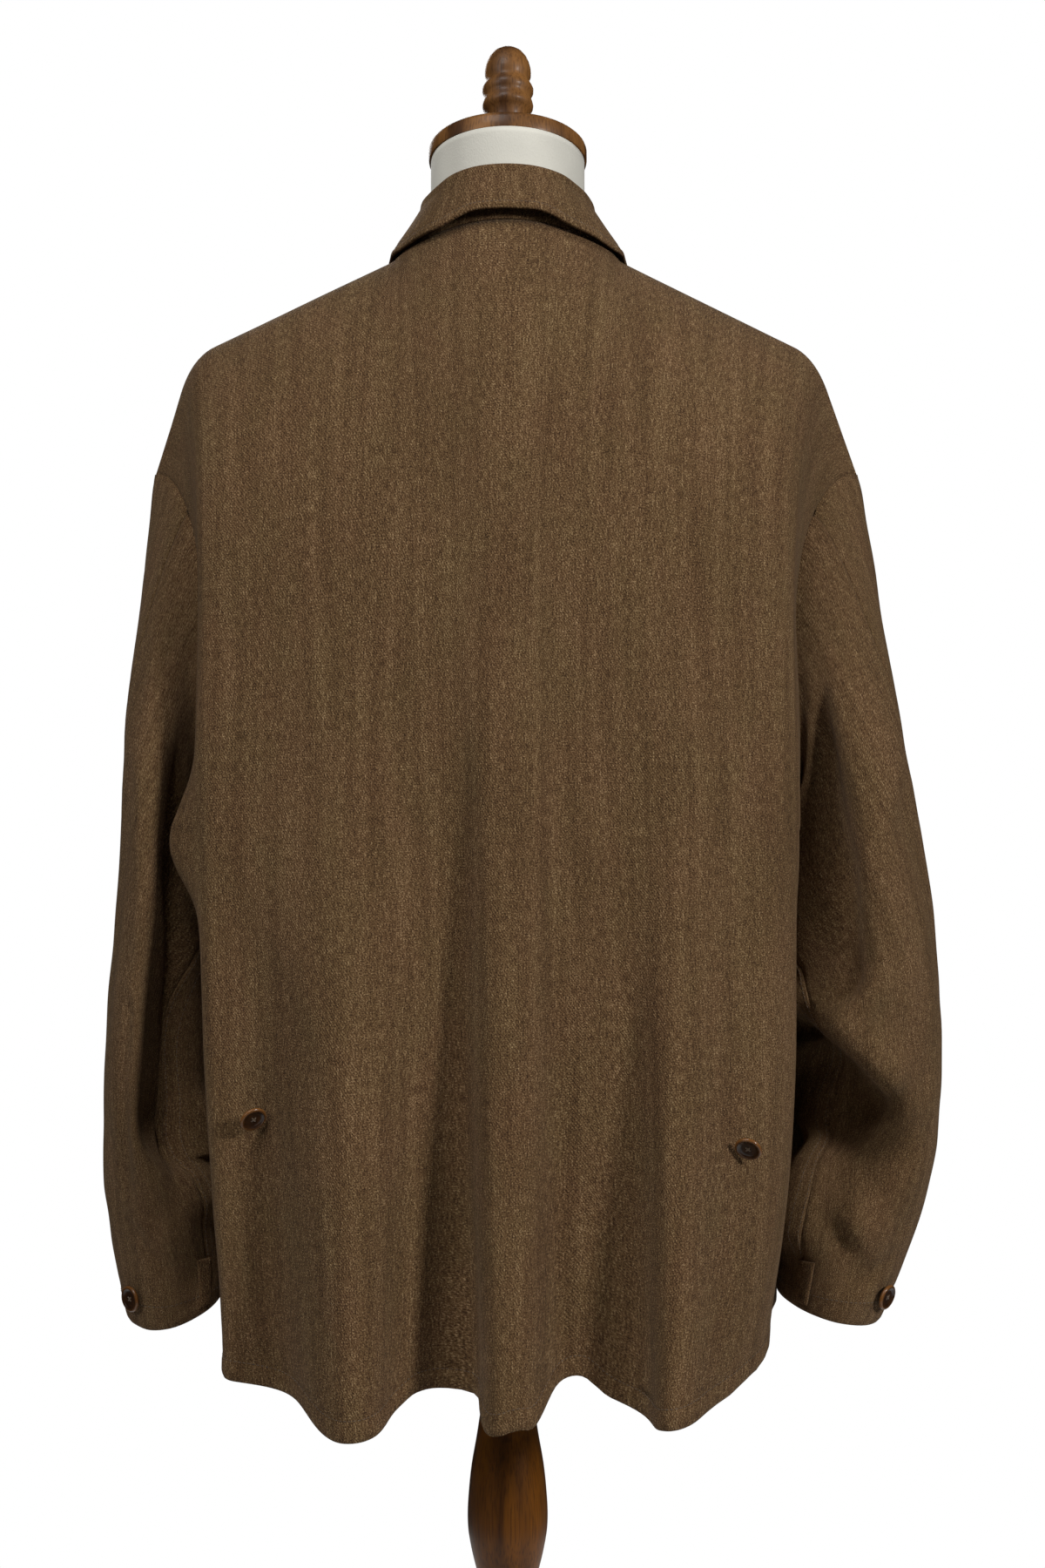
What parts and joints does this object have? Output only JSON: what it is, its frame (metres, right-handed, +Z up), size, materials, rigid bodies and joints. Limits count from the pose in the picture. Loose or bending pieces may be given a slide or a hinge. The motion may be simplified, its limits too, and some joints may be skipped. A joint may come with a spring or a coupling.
{
  "type": "battle dress jacket on a dress form",
  "caption": "Loose hip-length wool serge jacket with a turn-down collar, long sleeves, flapped hip pockets and buttons, hanging on a limbless dress form and turned wooden stand.",
  "frame": {"origin": "floor under the middle of the pole", "axes": "+Z up along the pole; the jacket's front faces -Y and its wearer's left is +X"},
  "size_m": [0.5761, 0.384, 1.6042],
  "materials": {
    "serge": "brown wool serge with a faint diagonal twill, mottled and matte",
    "form_cover": "cream cotton jersey drawn tight over the form",
    "stand_wood": "dark brown stained wood, satin",
    "cap_wood": "mid brown stained wood, satin",
    "button": "dark brown with a lighter amber rim, slightly glossy"
  },
  "bodies": {
    "root": {"form_torso": "form_cover", "neck_cap": "cap_wood", "finial": "cap_wood", "stand_pole": "stand_wood", "stand_foot": "stand_wood", "back": "serge", "front_left": "serge", "front_right": "serge", "sleeve_top_left": "serge", "sleeve_top_right": "serge", "sleeve_under_left": "serge", "sleeve_under_right": "serge", "collar_stand": "serge", "collar_fall": "serge", "pocket_left": "serge", "pocket_right": "serge", "pocket_flap_left": "serge", "pocket_flap_right": "serge", "cuff_placket_left": "serge", "cuff_placket_right": "serge", "button_front_1": "button", "button_front_2": "button", "button_front_3": "button", "button_front_4": "button", "button_front_5": "button", "button_back_left": "button", "button_back_right": "button", "button_cuff_left": "button", "button_cuff_right": "button"}
  },
  "joints": []
}
